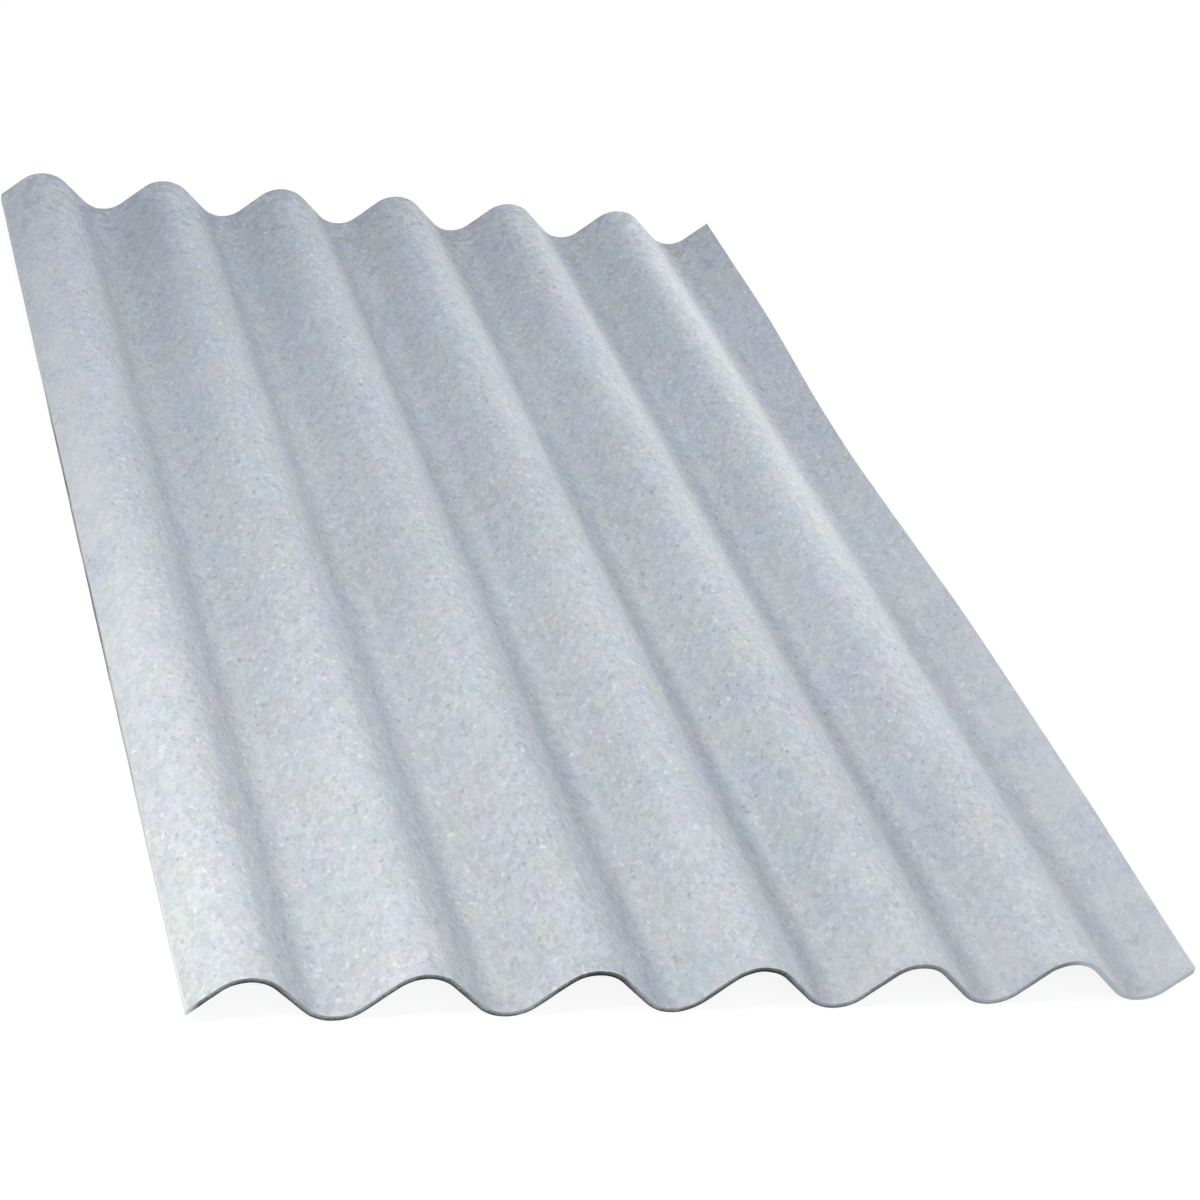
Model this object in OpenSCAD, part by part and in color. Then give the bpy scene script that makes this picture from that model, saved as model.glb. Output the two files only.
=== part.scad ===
// Corrugated fibre cement roof sheet, large wave.
//
// One moulded piece of constant wall and constant section: round crests and troughs joined by
// straight flanks. At the full width the left side edge hangs down off the first crest and the
// right side edge stands up out of the last trough, so each sheet laps over its neighbour.
// X runs across the waves, Y runs along them and Z is up. The origin is under the middle of the
// sheet, in the plane that the troughs rest on.

/* [Sheet] */
// Length along the waves
sheet_length = 1830; // [610:10:3660]
// Overall width across the waves, between the two sawn side edges
sheet_width = 1092; // [400:1:1400]
// Wall thickness, square to the surface
thickness = 6; // [4:0.5:12]

/* [Wave] */
// Distance from one crest to the next
pitch = 177; // [130:1:240]
// Height of the waves, from trough to crest on one face
wave_height = 51; // [36:1:75]
// Slope of the straight flanks, in degrees
flank_angle = 43; // [34:0.5:56]

/* [Hidden] */
$fn = 180;
cement_grey = [0.71, 0.74, 0.77];

half_pitch = pitch / 2;
sheet_height = wave_height + thickness;

// Bend radius at the middle of the wall. A crest, a flank and a trough meet tangentially, so
// half_pitch = 2 R sin(a) + L cos(a) and wave_height = 2 R (1 - cos(a)) + L sin(a) for a flank
// of length L at the angle a; R follows when L is taken out of the two.
bend_radius = (half_pitch * sin(flank_angle) - wave_height * cos(flank_angle))
    / (2 * (1 - cos(flank_angle)));

// Heights of the axes that crests and troughs are bent about
crest_axis = sheet_height - thickness / 2 - bend_radius;
trough_axis = thickness / 2 + bend_radius;

// Bends stand half a pitch apart, crests at even numbers and troughs at odd ones. The sheet's
// middle line falls between bends -1 and 0, and one bend at each side lies past the sawn edge.
bends = floor(sheet_width / pitch + 0.5) + 1;
function is_crest(i) = i % 2 == 0;
function bend_x(i) = (i + 0.5) * half_pitch;

// The flanks run into the bends this far inside them, so that the two meet in a clean corner
// rather than by touching
hair = 0.002;

// Radius of bend i on a face that lies above the middle of the wall by rise
function face_radius(i, rise) = is_crest(i) ? bend_radius + rise : bend_radius - rise;

// The two ends of bend i on that face, where the straight flanks run into it
function bend_ends(i, rise) = [
    for (side = [-1, 1])
        let (r = face_radius(i, rise) - hair)
        is_crest(i)
            ? [bend_x(i) + side * r * sin(flank_angle), crest_axis + r * cos(flank_angle)]
            : [bend_x(i) + side * r * sin(flank_angle), trough_axis - r * cos(flank_angle)]
];

module bend_roller(i, rise, length) {
    translate([bend_x(i), is_crest(i) ? crest_axis : trough_axis])
        cylinder(h = length, r = face_radius(i, rise), center = true);
}

// Everything below a face: the flanks and the chords of the bends as one outline, with the
// crests rounded upwards and the troughs rounded out
module below_face(rise, depth, length) {
    ends = [for (i = [-bends : bends - 1]) each bend_ends(i, rise)];
    last = len(ends) - 1;
    difference() {
        union() {
            linear_extrude(height = length, center = true)
                polygon(concat([[ends[0].x, -depth]], ends, [[ends[last].x, -depth]]));
            for (i = [-bends : bends - 1]) if (is_crest(i)) bend_roller(i, rise, length);
        }
        for (i = [-bends : bends - 1]) if (!is_crest(i)) bend_roller(i, rise, 2 * length);
    }
}

// The wave between its upper and lower faces, trimmed to the two sawn side edges
module roof_sheet() {
    color(cement_grey)
        rotate([90, 0, 0])
            intersection() {
                difference() {
                    below_face(thickness / 2, sheet_height, sheet_length);
                    below_face(-thickness / 2, 2 * sheet_height, 2 * sheet_length);
                }
                cube([sheet_width, 3 * sheet_height, 2 * sheet_length], center = true);
            }
}

roof_sheet();
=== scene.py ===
# %% [markdown]
# # A corrugated fibre cement roof sheet
#
# This lesson finishes one roofing sheet: a moulded piece almost as long as a door is high, with six
# round waves and a wall about as thick as a pencil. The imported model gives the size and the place
# of everything, so it is loaded first, and its box is kept to compare the finished piece with.

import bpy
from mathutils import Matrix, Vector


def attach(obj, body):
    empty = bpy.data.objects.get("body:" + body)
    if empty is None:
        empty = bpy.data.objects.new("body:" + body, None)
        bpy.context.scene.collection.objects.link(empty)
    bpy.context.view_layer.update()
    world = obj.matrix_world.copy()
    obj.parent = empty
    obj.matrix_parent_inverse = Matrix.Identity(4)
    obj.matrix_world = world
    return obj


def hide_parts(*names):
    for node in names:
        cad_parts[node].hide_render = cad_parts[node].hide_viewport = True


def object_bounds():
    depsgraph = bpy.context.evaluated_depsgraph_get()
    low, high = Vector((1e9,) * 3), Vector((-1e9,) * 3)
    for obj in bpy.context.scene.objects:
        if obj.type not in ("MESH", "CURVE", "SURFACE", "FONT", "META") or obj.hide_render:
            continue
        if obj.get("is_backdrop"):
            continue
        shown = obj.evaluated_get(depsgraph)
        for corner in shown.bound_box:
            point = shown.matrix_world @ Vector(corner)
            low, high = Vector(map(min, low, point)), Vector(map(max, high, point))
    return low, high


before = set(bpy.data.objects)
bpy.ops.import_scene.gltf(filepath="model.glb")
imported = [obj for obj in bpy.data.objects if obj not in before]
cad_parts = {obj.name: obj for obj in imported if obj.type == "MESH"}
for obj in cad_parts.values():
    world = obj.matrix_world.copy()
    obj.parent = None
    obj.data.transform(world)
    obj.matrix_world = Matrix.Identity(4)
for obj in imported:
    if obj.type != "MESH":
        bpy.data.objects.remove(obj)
cad_low, cad_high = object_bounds()
print("sheet", [round(v, 4) for v in (cad_high - cad_low)], "m")

# %% Tools for the lesson
from math import cos, pi, radians, sin

import bmesh
import bpy
from mathutils import Matrix, Vector, noise

scene = bpy.context.scene

# %% [markdown]
# ## The camera
#
# The sheet lies on the floor and is seen from above its near left corner, with a portrait lens
# from a few metres away. The camera could be dragged into place by hand. Here it stands on a
# sphere round a point near the middle of the sheet, so each number means something: how far round
# it has walked, how high it stands, how far off it is and how much it leans to one side.

# %% Stand the camera
walked_round, raised, leaning = radians(-21.74), radians(30.3), radians(12.6)
distance = 3.621
aim = Vector((0.0745, -0.1741, 0.028))

away = Vector((sin(walked_round) * cos(raised), -cos(walked_round) * cos(raised), sin(raised)))
right = Vector((0, 0, 1)).cross(away).normalized()
upright = Matrix((right, away.cross(right), away)).transposed()

lens = bpy.data.cameras.new("camera")
lens.lens, lens.sensor_width = 88.65, 36
camera = bpy.data.objects.new("camera", lens)
camera.matrix_world = Matrix.LocRotScale(
    aim + distance * away, (upright @ Matrix.Rotation(leaning, 3, "Z")).to_quaternion(), None)
scene.collection.objects.link(camera)
scene.camera = camera
print("camera at", [round(v, 3) for v in camera.location])

# %% [markdown]
# ## The wave
#
# On the real sheet a flat, wet felt of fibre and cement is laid over a corrugated mould, so the
# wall keeps one thickness all the way. A sine curve looks close, but its wall would be thin on the
# flanks. Here the wave is what the mould has: a round crest, a straight flank and a round trough
# that run into each other without a corner. Half a wave is twice the bend's reach and one flank,
# both across and up, and that gives the bend radius.

# %% Work out the wave
width, length, _ = cad_high - cad_low
wall = 0.006
rise = 0.051
height = rise + wall
pitch = 0.177
half_pitch = pitch / 2
flank_angle = radians(43)
bend = (half_pitch * sin(flank_angle) - rise * cos(flank_angle)) / (2 * (1 - cos(flank_angle)))
flank = half_pitch * cos(flank_angle) + rise * sin(flank_angle) - 2 * bend * sin(flank_angle)
print(f"bend radius {bend * 1000:.2f} mm, flank {flank * 1000:.2f} mm")

# %% [markdown]
# ## The sawn end
#
# The end of the sheet is drawn first, as a ribbon of small faces. It could be drawn point by point,
# but a short line the thickness of the wall can be moved along the wave instead: it is spun round
# the axis of each bend and pushed along each flank. The line starts in a trough just past the left
# side edge. Each of its two points carries a number, 0 under the wall and 1 on top, and every tool
# hands that number on, so the material can tell later how deep in the wall it is.

# %% Start the wall line in a trough
end_y = cad_low.y
sheet = bmesh.new()
depth = sheet.verts.layers.float.new("depth")
first_bend = -7  # bends are counted by half pitches from the middle of the sheet
start_x = (first_bend + 0.5) * half_pitch
line = [sheet.verts.new((start_x, end_y, z)) for z in (0, wall)]
for point, value in zip(line, (0.0, 1.0)):
    point[depth] = value
line.append(sheet.edges.new(line))

# %% Spin it round the bends and push it along the flanks
bend_steps = 14
flank_steps = 6


def spin_bend(line, number, angle, steps):
    """Crests have even numbers and turn one way, troughs have odd ones and turn the other."""
    crest = number % 2 == 0
    axis_z = height - wall / 2 - bend if crest else wall / 2 + bend
    spun = bmesh.ops.spin(
        sheet, geom=line, cent=((number + 0.5) * half_pitch, end_y, axis_z), axis=(0, 1, 0),
        angle=angle if crest else -angle, steps=steps, space=Matrix.Identity(4))
    return spun["geom_last"]


def push_flank(line, falling, steps):
    """Extrudes the line along a flank, downhill or uphill."""
    step = Vector((cos(flank_angle), 0, -sin(flank_angle) if falling else sin(flank_angle)))
    for _ in range(steps):
        edge = [part for part in line if isinstance(part, bmesh.types.BMEdge)]
        grown = bmesh.ops.extrude_edge_only(sheet, edges=edge)["geom"]
        line = [part for part in grown if not isinstance(part, bmesh.types.BMFace)]
        points = [part for part in line if isinstance(part, bmesh.types.BMVert)]
        bmesh.ops.translate(sheet, verts=points, vec=step * flank / steps)
    return line


line = spin_bend(line, first_bend, flank_angle, bend_steps // 2)
for number in range(first_bend + 1, -first_bend):
    line = push_flank(line, number % 2 != 0, flank_steps)
    line = spin_bend(line, number, 2 * flank_angle, bend_steps)
bmesh.ops.remove_doubles(sheet, verts=sheet.verts, dist=1e-6)
print("ribbon of", len(sheet.faces), "faces")

# %% [markdown]
# ## The side edges
#
# A factory saw trims both sides upright. Two cutting planes do the same: bisect_plane splits every
# face that it crosses and throws away what lies outside.

# %% Saw the sides
for side in (-1, 1):
    bmesh.ops.bisect_plane(
        sheet, geom=sheet.verts[:] + sheet.edges[:] + sheet.faces[:], dist=1e-6,
        plane_co=(side * width / 2, 0, 0), plane_no=(side, 0, 0), clear_outer=True)
print("ribbon from", round(min(v.co.x for v in sheet.verts), 4),
      "to", round(max(v.co.x for v in sheet.verts), 4), "m")

# %% [markdown]
# ## The length
#
# The ribbon is pushed along the sheet in short steps. One long push would give the same shape, but
# the rings that the steps leave are needed next, to make the surface a little uneven.

# %% Push the end along the waves
rings = 60
end = sheet.verts[:] + sheet.edges[:] + sheet.faces[:]
for _ in range(rings):
    end = bmesh.ops.extrude_face_region(sheet, geom=end)["geom"]
    points = [part for part in end if isinstance(part, bmesh.types.BMVert)]
    bmesh.ops.translate(sheet, verts=points, vec=(0, length / rings, 0))
bmesh.ops.recalc_face_normals(sheet, faces=sheet.faces[:])
print("solid of", len(sheet.faces), "faces,", "closed" if all(e.is_manifold for e in sheet.edges)
      else "open", "volume", round(sheet.calc_volume() * 1e6), "cm3")

# %% [markdown]
# ## Small unevenness and wear
#
# No sheet leaves the mould as true as its drawing. The felt settles a little more here than there,
# the trimmed ends wander by about a millimetre, and handling knocks grains off the corners.
# The right side edge has worn back along its flank, most of all past the middle. Sculpting by hand
# could do this, but it would come out different each time. Smooth noise moves the points that are
# already there: slow noise lifts the faces, and quick noise frays the ends and the sides. Every
# move goes inwards, so the sheet never grows past its drawn size.

# %% Tools to move the points
mm = 0.001


def drift(point, size, seed):
    """Smooth noise between about -1 and 1, with bumps of the given size in metres."""
    return noise.noise(point / size + Vector((seed, 0, 0)))


def ease(value, start, stop):
    """Goes smoothly from 0 at start to 1 at stop."""
    part = min(max((value - start) / (stop - start), 0), 1)
    return part * part * (3 - 2 * part)


def worn_back(along):
    """How far the right side edge has worn back, in millimetres, at a place along the sheet: -1 is
    the near end and 1 the far end."""
    past_middle = 10 * ease(along, -0.33, 0.27) * ease(along, 0.72, 0.27)
    near_corner = 3 * ease(along, -0.66, -0.98)
    return past_middle + near_corner


# %% Make it a little uneven and worn
touching = 1e-5
last_flank = width / 2 - flank * cos(flank_angle)
up_flank = Vector((cos(flank_angle), 0, sin(flank_angle)))
for vert in sheet.verts:
    home = vert.co.copy()
    to_middle = 1 - home.z / (height / 2)
    vert.co.z += (0.40 * drift(home, 0.30, 3) + 0.45 * to_middle) * mm
    if abs(abs(home.y) - length / 2) < touching:
        inside = -1 if home.y > 0 else 1
        frayed = 0.8 + 0.4 * drift(home, 0.012, 11) + 0.4 * drift(home, 0.12, 17)
        vert.co.y += inside * frayed * mm
    if abs(abs(home.x) - width / 2) < touching:
        inside = -1 if home.x > 0 else 1
        vert.co.x += inside * (0.5 + 0.5 * drift(home, 0.035, 23)) * mm
    if home.x > last_flank:
        reach = (home.x - last_flank) / (width / 2 - last_flank)
        vert.co -= worn_back(home.y / (length / 2)) * mm * reach * up_flank
print("heights from", round(min(v.co.z for v in sheet.verts), 5),
      "to", round(max(v.co.z for v in sheet.verts), 5), "m")

# %% [markdown]
# ## Sharp corners
#
# A saw leaves a sharp corner, and cement can't keep one: it crumbles to a round of about half a
# millimetre. A bevel modifier could round it later, but every corner is known here by its angle, so
# bmesh bevels it now and the rounds are part of the mesh.

# %% Break the sharp corners
def is_corner(edge):
    return len(edge.link_faces) == 2 and edge.calc_face_angle() > radians(30)


corners = [edge for edge in sheet.edges if is_corner(edge)]
bmesh.ops.bevel(
    sheet, geom=corners, offset=0.6 * mm, offset_type="OFFSET", affect="EDGES", segments=2,
    profile=0.5, material=-1, clamp_overlap=True)
print(len(corners), "corner edges rounded,", len(sheet.faces), "faces")

# %% [markdown]
# ## Three finishes on one piece
#
# The face that meets the weather, the face that lay on the mould and the sawn edges look
# different, although they are one material. Each face of the mesh gets the finish that its depth
# numbers and its direction ask for.

# %% Sort the faces by finish
WEATHER, MOULD, SAWN = 0, 1, 2
for face in sheet.faces:
    depths = [vert[depth] for vert in face.verts]
    on_top = sum(depths) / len(depths) > 0.5
    cut = abs(face.normal.x) > 0.8 or abs(face.normal.y) > 0.8
    face.material_index = SAWN if cut else WEATHER if on_top else MOULD
    face.smooth = not cut
for edge in sheet.edges:
    kinds = {face.material_index for face in edge.link_faces}
    edge.smooth = len(kinds) == 1
counts = [sum(face.material_index == kind for face in sheet.faces)
          for kind in (WEATHER, MOULD, SAWN)]
print("weather, mould and sawn faces:", counts)

# %% Make the mesh
mesh = bpy.data.meshes.new("cement_sheet")
sheet.to_mesh(mesh)
sheet.free()
piece = bpy.data.objects.new("cement_sheet", mesh)
scene.collection.objects.link(piece)

# %% Hand the piece to the frame
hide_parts("roof_sheet")
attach(piece, "root")

# %% [markdown]
# ## Fibre cement
#
# Close to, the surface is not one grey. Cement dries in cloudy patches a few hands wide, the felt
# that carried it leaves faint lines along the sheet, and grains of lime and soot show as light and
# dark flecks a few millimetres across. A picture of real cement would be quick, but it would stretch
# on the waves. Noise in the piece's own coordinates runs straight through the solid, so it stays the
# same size on crests and flanks, and the layers can be weighed one by one.

# %% Helpers for materials
def new_material(name):
    """A material whose Principled shader can be asked for by name."""
    made = bpy.data.materials.new(name)
    made.use_nodes = True
    made.node_tree.nodes["Principled BSDF"].name = "shader"
    return made


def add(tree, kind, sockets=None, **settings):
    """Adds a shader node, sets its settings and the values on its sockets."""
    node = tree.nodes.new("ShaderNode" + kind)
    for name, value in settings.items():
        setattr(node, name, value)
    for name, value in (sockets or {}).items():
        node.inputs[name].default_value = value
    return node


def calculate(tree, operation, *values):
    """A Math node whose values are plain numbers or the sockets of other nodes."""
    node = add(tree, "Math", operation=operation)
    for socket, value in zip(node.inputs, values):
        if isinstance(value, (int, float)):
            socket.default_value = value
        else:
            tree.links.new(value, socket)
    return node.outputs["Value"]


def stretched(tree, place, stretch, turn=(0, 0, 0)):
    """The same coordinates, so that what is drawn on them comes out longer along the axes."""
    node = add(tree, "Mapping", {"Scale": [1 / s for s in stretch], "Rotation": turn})
    tree.links.new(place, node.inputs["Vector"])
    return node.outputs["Vector"]


def cloud(tree, place, scale, detail=2.0, roughness=0.5):
    """Noise whose largest bumps are 1 / scale metres across."""
    node = add(tree, "TexNoise", {"Scale": scale, "Detail": detail, "Roughness": roughness})
    tree.links.new(place, node.inputs["Vector"])
    return node.outputs["Fac"]


def flakes(tree, place, scale):
    """Flakes 1 / scale metres across, each with a tone of its own and a ragged outline."""
    ragged = add(tree, "TexNoise", {"Scale": 2 * scale, "Detail": 1.0})
    shift = add(tree, "VectorMath", {1: [0.9 / scale] * 3}, operation="MULTIPLY_ADD")
    cells = add(tree, "TexVoronoi", {"Scale": scale})
    tree.links.new(place, ragged.inputs["Vector"])
    tree.links.new(ragged.outputs["Color"], shift.inputs[0])
    tree.links.new(place, shift.inputs[2])
    tree.links.new(shift.outputs["Vector"], cells.inputs["Vector"])
    return cells.outputs["Color"]


def weigh(tree, layers):
    """Adds up patterns round one half: 0.5 + the sum of weight x (pattern - 0.5)."""
    total = 0.5 - sum(weight / 2 for _, weight in layers)
    for pattern, weight in layers:
        total = calculate(tree, "MULTIPLY_ADD", pattern, weight, total)
    return total


def fade(tree, value, start, stop, most=1.0):
    """A mask that climbs from 0 to most as the value goes from start to stop, up or down."""
    node = add(tree, "MapRange", {"From Min": start, "From Max": stop, "To Max": most})
    tree.links.new(value, node.inputs["Value"])
    return node.outputs["Result"]


def ramp(tree, value, stops):
    """A colour ramp from (place, colour) stops."""
    node = add(tree, "ValToRGB")
    while len(node.color_ramp.elements) < len(stops):
        node.color_ramp.elements.new(0.5)
    for element, (place, colour) in zip(node.color_ramp.elements, stops):
        element.position = place
        element.color = (*colour, 1)
    tree.links.new(value, node.inputs["Fac"])
    return node.outputs["Color"]


def tint(tree, colour, mask, other):
    """Lays another colour over this one where the mask is high."""
    node = add(tree, "Mix", data_type="RGBA")
    tree.links.new(mask, node.inputs["Factor"])
    tree.links.new(colour, node.inputs["A"])
    node.inputs["B"].default_value = (*other, 1)
    return node.outputs["Result"]


def multiply(tree, colour, other):
    """Multiplies two colours, so that one shades the other."""
    node = add(tree, "Mix", {"Factor": 1.0}, data_type="RGBA", blend_type="MULTIPLY")
    tree.links.new(colour, node.inputs["A"])
    tree.links.new(other, node.inputs["B"])
    return node.outputs["Result"]


def relief(tree, layers, metres):
    """A bump from weighed patterns, as deep as the given metres from lowest to highest."""
    node = add(tree, "Bump", {"Strength": 1.0, "Distance": metres})
    tree.links.new(weigh(tree, layers), node.inputs["Height"])
    return node.outputs["Normal"]


def where(tree):
    """Object coordinates, and the same place as shares of the sheet: -1 to 1 across, -1 to 1 along
    and 0 to 1 up."""
    place = add(tree, "TexCoord").outputs["Object"]
    shares = add(tree, "VectorMath", {1: (width / 2, length / 2, height)}, operation="DIVIDE")
    parts = add(tree, "SeparateXYZ")
    tree.links.new(place, shares.inputs[0])
    tree.links.new(shares.outputs["Vector"], parts.inputs["Vector"])
    return place, parts.outputs["X"], parts.outputs["Y"], parts.outputs["Z"]


# %% [markdown]
# ## The weather face
#
# Painted shade darkens the face low down, in the troughs, and on the near right a painted
# shadow lies along the foot of the right flanks. Near the far end painted shade darkens the left
# flanks, one has a stain, and the end itself has a thin dark rim. Strips along both sides that lay
# under or over the next sheet stay paler, and so does the near end of the right half. This could be
# painted by hand on the unwrapped sheet, but paint can't be changed by a number.
# Here each effect is a layer of its own: first the grey from clouds, felt lines, grain and flock,
# then a drift between warm and cold, then flecks, and last the pale places, the painted shade and
# the dark marks. Masks for those come from the place on the sheet, given as a share of its width,
# length or height.

# %% The grey of the weather face
weather = new_material("weathered cement")
tree = weather.node_tree
place, across, along, up = where(tree)

combed = stretched(tree, place, (1, 1.4, 1))
clouds = cloud(tree, combed, 3.5, 2, 0.5)
felt = cloud(tree, stretched(tree, place, (1, 22, 1)), 80, 3, 0.5)
grain = flakes(tree, combed, 150)
flock = flakes(tree, combed, 320)
tone = weigh(tree, [(clouds, 0.34), (felt, 0.12), (grain, 0.38), (flock, 0.31)])
grey = ramp(tree, tone, [(0.0, (0.68, 0.685, 0.69)), (0.5, (0.96, 0.96, 0.96)),
                         (1.0, (1.22, 1.215, 1.21))])

# %% Its warm and cold drift
warmth = cloud(tree, combed, 20, 2, 0.55)
cold, warm = (0.505, 0.568, 0.655), (0.575, 0.590, 0.600)
hue = ramp(tree, warmth, [(0.25, cold), (0.75, warm)])
blush = cloud(tree, stretched(tree, place, (1, 1.6, 1), turn=(1, 2, 3)), 28, 3, 0.6)
mauve, greenish = (0.566, 0.544, 0.666), (0.525, 0.614, 0.604)
hue = tint(tree, hue, fade(tree, blush, 0.5, 0.9), mauve)
hue = tint(tree, hue, fade(tree, blush, 0.5, 0.1), greenish)
colour = multiply(tree, hue, grey)

# %% Its flecks of lime and soot
specks = flakes(tree, combed, 260)
lime = fade(tree, specks, 0.84, 0.93, 0.5)
soot = fade(tree, specks, 0.16, 0.07, 0.42)
colour = tint(tree, colour, lime, (0.80, 0.81, 0.82))
colour = tint(tree, colour, soot, (0.25, 0.27, 0.30))

# %% Its pale places
def both(tree, mask, other):
    """A mask that is high only where both are."""
    return calculate(tree, "MULTIPLY", mask, other)


def either(tree, mask, other):
    """A mask that is high where one or the other is."""
    return calculate(tree, "MAXIMUM", mask, other)


left_strip = both(tree, fade(tree, across, -0.87, -0.96), fade(tree, along, -0.66, -0.22))
right_strip = both(tree, fade(tree, across, 0.85, 0.96), fade(tree, along, 0.27, -0.82, 1.6))
# Paler towards the near end on the right half of the sheet.
paler_near_right = both(tree, fade(tree, across, -0.09, 0.55), fade(tree, along, -0.66, -0.98, 0.7))
pale = either(tree, either(tree, left_strip, right_strip), paler_near_right)
pale = both(tree, pale, fade(tree, warmth, 0.2, 0.55, 0.3))
colour = tint(tree, colour, pale, (0.74, 0.76, 0.79))

# %% Its painted shade and dark marks
def along_waves(tree, across, share, border, core):
    """A mask of bands along the waves, at a share of a pitch to the right of each crest. It climbs
    from 0 to 1 as a sine that peaks there goes from border to core."""
    turns = 2 * pi * (width / 2) / pitch
    wave = calculate(tree, "MULTIPLY_ADD", across, turns, 2 * pi * (1 - share))
    return fade(tree, calculate(tree, "SINE", wave), border, core)


# Painted shade in one dark colour, laid on by the three masks below.
painted_shade = (0.26, 0.27, 0.31)
# Painted shade: the face is darker low down, in the troughs, than on the crests.
painted_shade_low = fade(tree, up, 0.95, 0.45, 0.10)
# Painted shadow along the foot of the right flanks, on the near right of the sheet.
painted_shadow_foot = both(tree, along_waves(tree, across, 0.43, 0.8, 0.99), both(
    tree, fade(tree, across, -0.3, 0.0), fade(tree, along, 0.3, -0.2, 0.2)))
# Painted shade on the left flanks near the far end.
painted_shade_far_flanks = both(
    tree, along_waves(tree, across, 0.78, 0.3, 0.97), fade(tree, along, 0.5, 0.9, 0.1))
for mask in (painted_shade_low, painted_shadow_foot, painted_shade_far_flanks):
    colour = tint(tree, colour, mask, painted_shade)

stain_across = both(tree, fade(tree, across, -0.74, -0.65), fade(tree, across, -0.56, -0.64))
stain_along = both(tree, fade(tree, along, 0.7, 0.85), fade(tree, along, 1.02, 0.9, 0.24))
colour = tint(tree, colour, both(tree, stain_across, stain_along), (0.29, 0.27, 0.32))
ragged = calculate(tree, "MULTIPLY_ADD", cloud(tree, place, 60, 1), 1.1, along)
rim = fade(tree, ragged, 1.54, 1.556, 0.3)
colour = tint(tree, colour, rim, (0.30, 0.32, 0.33))

# %% Join the weather face to its shader
def join(tree, colour, roughness, bump, gloss):
    """Plugs colour, roughness and bump into the shader and sets how much it mirrors."""
    shader = tree.nodes["shader"]
    tree.links.new(colour, shader.inputs["Base Color"])
    tree.links.new(roughness, shader.inputs["Roughness"])
    tree.links.new(bump, shader.inputs["Normal"])
    shader.inputs["Specular IOR Level"].default_value = gloss


join(tree, colour, ramp(tree, tone, [(0.2, (0.92,) * 3), (0.8, (0.80,) * 3)]),
     relief(tree, [(grain, 1.0), (flock, 0.4), (felt, 0.5)], 0.4 * mm), 0.3)

# %% [markdown]
# ## The mould face
#
# The underside took the print of the felt it was carried on, and no rain has reached it. It is
# smoother and a little darker. It could share the weather material with other numbers, but three
# layers are enough for it, so a material of its own is easier to read.

# %% The mould face
mould = new_material("cement from the mould")
tree = mould.node_tree
place = add(tree, "TexCoord").outputs["Object"]
clouds = cloud(tree, place, 4.5, 3, 0.55)
mottle = cloud(tree, place, 40, 4, 0.6)
weave = cloud(tree, stretched(tree, place, (1, 3, 1)), 300, 2, 0.5)
tone = weigh(tree, [(clouds, 0.5), (mottle, 0.4), (weave, 0.5)])
colour = ramp(tree, tone, [(0.0, (0.30, 0.32, 0.34)), (0.5, (0.42, 0.44, 0.46)),
                           (1.0, (0.55, 0.57, 0.58))])
join(tree, colour, ramp(tree, tone, [(0.2, (0.9,) * 3), (0.8, (0.75,) * 3)]),
     relief(tree, [(weave, 1.0), (mottle, 0.5)], 0.4 * mm), 0.3)

# %% [markdown]
# ## The sawn edges
#
# A saw cut shows what the wall is made of: thin films of felt, pressed together and torn by the
# teeth. The cut is darker than the faces, with painted shade that makes it darkest low in the wall
# and on the crests, and it is lighter towards the right of the ends and on parts of the left side.
# The films could be modelled as ridges, but each is less than a millimetre thick. Here a sine wave
# runs over the depth number that each point got at the start, and noise tears its lines.

# %% The sawn edges
sawn = new_material("sawn cement")
tree = sawn.node_tree
place, across, along, up = where(tree)
film_count = 9
deep = add(tree, "Attribute", attribute_name="depth").outputs["Fac"]
torn = cloud(tree, place, 220, 3, 0.6)
blotch = cloud(tree, place, 16, 3, 0.6)
frayed = weigh(tree, [(deep, 1.0), (torn, 0.25)])
films = calculate(tree, "SINE", calculate(tree, "MULTIPLY", frayed, film_count * 2 * pi))
# Painted shade: the cut is darker low in the wall and on the crests.
painted_shade_low_in_wall = fade(tree, deep, 0.75, 0.25)
crest = fade(tree, up, 0.2, 0.9)
tone = weigh(tree, [(fade(tree, films, -1, 1), 0.15), (torn, 0.6), (blotch, 1.1), (painted_shade_low_in_wall, -0.45),
                    (crest, -0.3)])
colour = ramp(tree, tone, [(0.1, (0.03, 0.032, 0.033)), (0.5, (0.15, 0.157, 0.16)),
                           (0.9, (0.42, 0.44, 0.45))])

# %% Where the sawn edges are lighter
lighter_right = either(tree, fade(tree, across, 0.11, 0.55, 0.4), fade(tree, across, 0.68, 0.75))
left_side = fade(tree, across, -0.978, -0.996)
lighter_left = both(tree, left_side, either(
    tree, fade(tree, along, 0.26, 0.39), fade(tree, along, -0.27, -1.04, 1.3)))
lighter = calculate(tree, "MULTIPLY", either(tree, lighter_right, lighter_left), 0.9)
colour = tint(tree, colour, lighter, (0.60, 0.64, 0.66))
join(tree, colour, ramp(tree, torn, [(0.2, (0.98,) * 3), (0.8, (0.92,) * 3)]),
     relief(tree, [(torn, 1.0)], 0.6 * mm), 0.2)

# %% Put the finishes on the sheet
for finish in (weather, mould, sawn):
    mesh.materials.append(finish)
print("materials:", [finish.name for finish in mesh.materials])

# %% [markdown]
# ## The floor
#
# The sheet lies on a plain white floor. A white paint alone would turn grey wherever the lamps are
# weak, and stronger lamps would bleach the sheet. So most of the floor's white is a glow, but only
# for rays that come from the camera or are mirrored towards it: the light on the sheet stays the
# same, and a faint shadow under the waves still shows.

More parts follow.
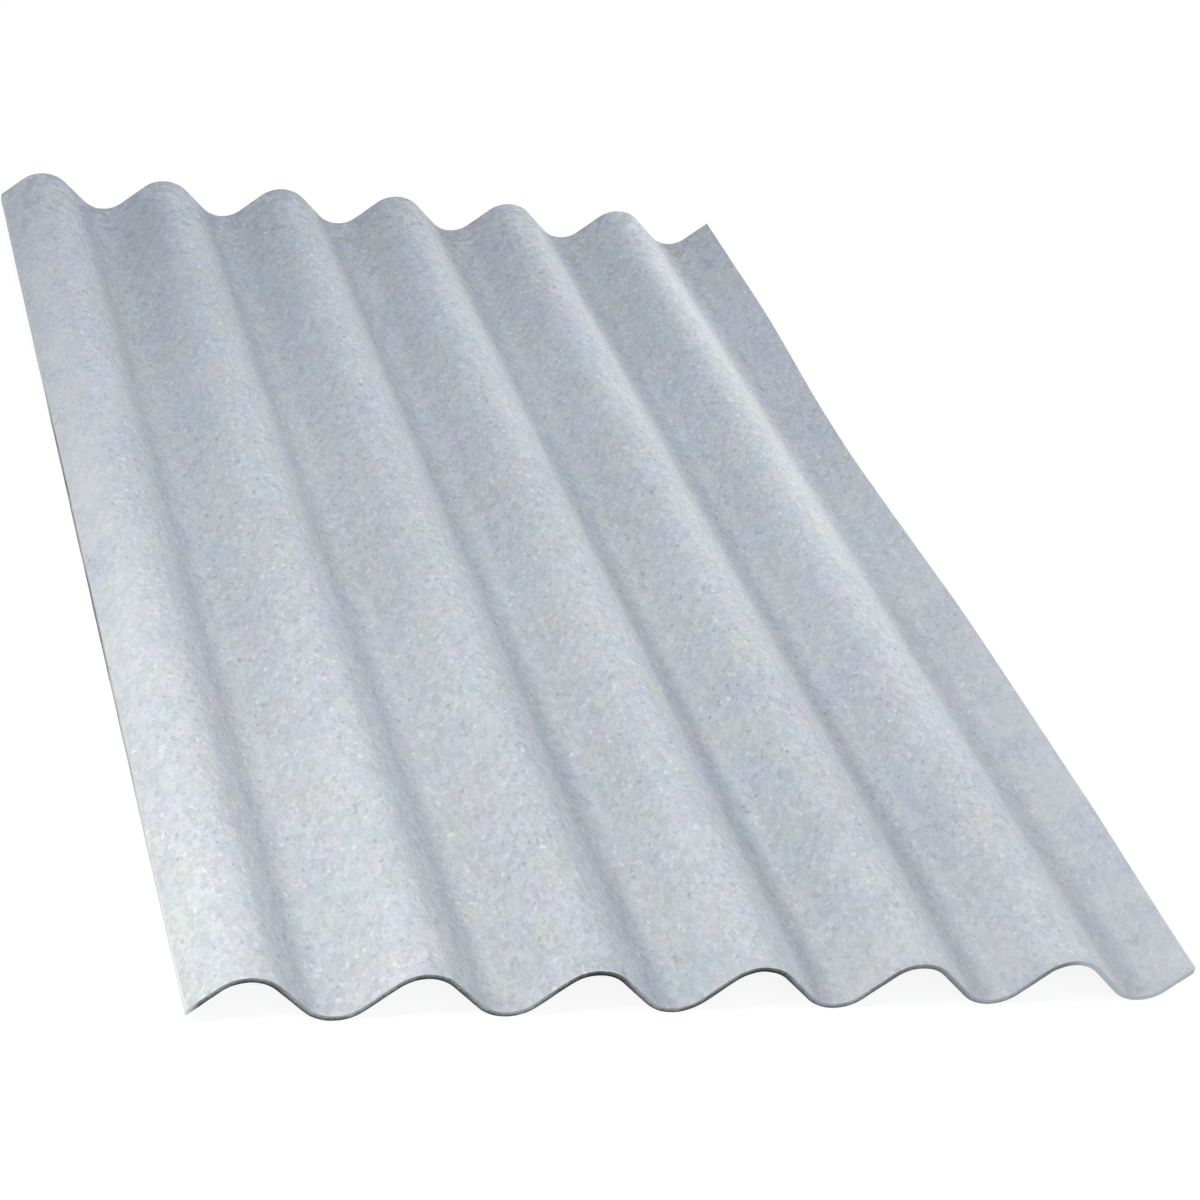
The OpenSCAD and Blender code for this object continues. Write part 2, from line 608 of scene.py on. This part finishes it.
# %% Lay the floor
low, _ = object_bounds()
floor_reach = 30  # metres each way, so that no border of the floor shows
ground = bmesh.new()
bmesh.ops.create_grid(ground, x_segments=1, y_segments=1, size=floor_reach)
bmesh.ops.translate(ground, verts=ground.verts, vec=(0, 0, low.z))
floor_mesh = bpy.data.meshes.new("floor")
ground.to_mesh(floor_mesh)
ground.free()
floor = bpy.data.objects.new("floor", floor_mesh)
scene.collection.objects.link(floor)
floor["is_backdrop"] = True

# %% Paint the floor
def seen_directly(tree):
    """1 for rays from the camera, off a gloss or through glass, and 0 for rays that only light."""
    path = add(tree, "LightPath").outputs
    mirrored = calculate(tree, "MAXIMUM", path["Is Glossy Ray"], path["Is Transmission Ray"])
    return calculate(tree, "MAXIMUM", path["Is Camera Ray"], mirrored)


paint = new_material("white floor")
tree = paint.node_tree
matt = tree.nodes["shader"]
matt.inputs["Base Color"].default_value = (0.8, 0.8, 0.8, 1)
matt.inputs["Roughness"].default_value = 1.0
glow = add(tree, "Emission", {"Color": (1, 1, 1, 1), "Strength": 1.12})
blend = add(tree, "MixShader", {"Fac": 0.8})
swap = add(tree, "MixShader")
tree.links.new(matt.outputs[0], blend.inputs[1])
tree.links.new(glow.outputs[0], blend.inputs[2])
tree.links.new(seen_directly(tree), swap.inputs["Fac"])
tree.links.new(matt.outputs[0], swap.inputs[1])
tree.links.new(blend.outputs[0], swap.inputs[2])
tree.links.new(swap.outputs[0], tree.nodes["Material Output"].inputs["Surface"])
floor_mesh.materials.append(paint)

# %% [markdown]
# ## The light
#
# Waves only show when light comes across them. More than half of the light is a soft, cool sky from
# all sides. Over it stand three compact soft boxes with a warmer light: the main one to the left and
# near, which leaves the foot of every right flank darker, one to the right, and a low one at the far
# right that brightens the right flanks towards that end. Large boxes would be softer still, but they
# would wash out the shading that makes the waves look round.

# %% Colour the sky
scene.view_settings.view_transform = "Standard"
world = bpy.data.worlds.new("studio")
scene.world = world
world.use_nodes = True
tree = world.node_tree
fill = tree.nodes["Background"]
fill.inputs["Color"].default_value = (0.96, 1.0, 1.1, 1)
fill.inputs["Strength"].default_value = 0.65
backdrop = add(tree, "Background", {"Color": (1, 1, 1, 1), "Strength": 1.0})
swap = add(tree, "MixShader")
tree.links.new(seen_directly(tree), swap.inputs["Fac"])
tree.links.new(fill.outputs[0], swap.inputs[1])
tree.links.new(backdrop.outputs[0], swap.inputs[2])
tree.links.new(swap.outputs[0], tree.nodes["World Output"].inputs["Surface"])


# %% Stand the soft boxes
warm_white = (1.0, 0.94, 0.80)


def soft_box(name, at, size, watts):
    """A square soft box that looks at the middle of the sheet."""
    light = bpy.data.lights.new(name, "AREA")
    light.shape, light.size, light.energy, light.color = "SQUARE", size, watts, warm_white
    lamp = bpy.data.objects.new(name, light)
    lamp.location = at
    lamp.rotation_euler = Vector(at).to_track_quat("Z", "Y").to_euler()
    scene.collection.objects.link(lamp)


soft_box("main soft box", (-1.36, -1.06, 1.01), 0.3, 15.5)
soft_box("right soft box", (1.58, -0.38, 1.50), 0.3, 11.7)
soft_box("low soft box", (1.345, 0.796, 0.463), 0.33, 6.5)

# %% [markdown]
# ## The two boxes
#
# The finished piece has to lie inside the drawn one. Both boxes are printed, so that they can be
# compared.

# %% Print the boxes
low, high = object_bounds()
print("cad", [list(cad_low), list(cad_high)], "visual", [list(low), list(high)])
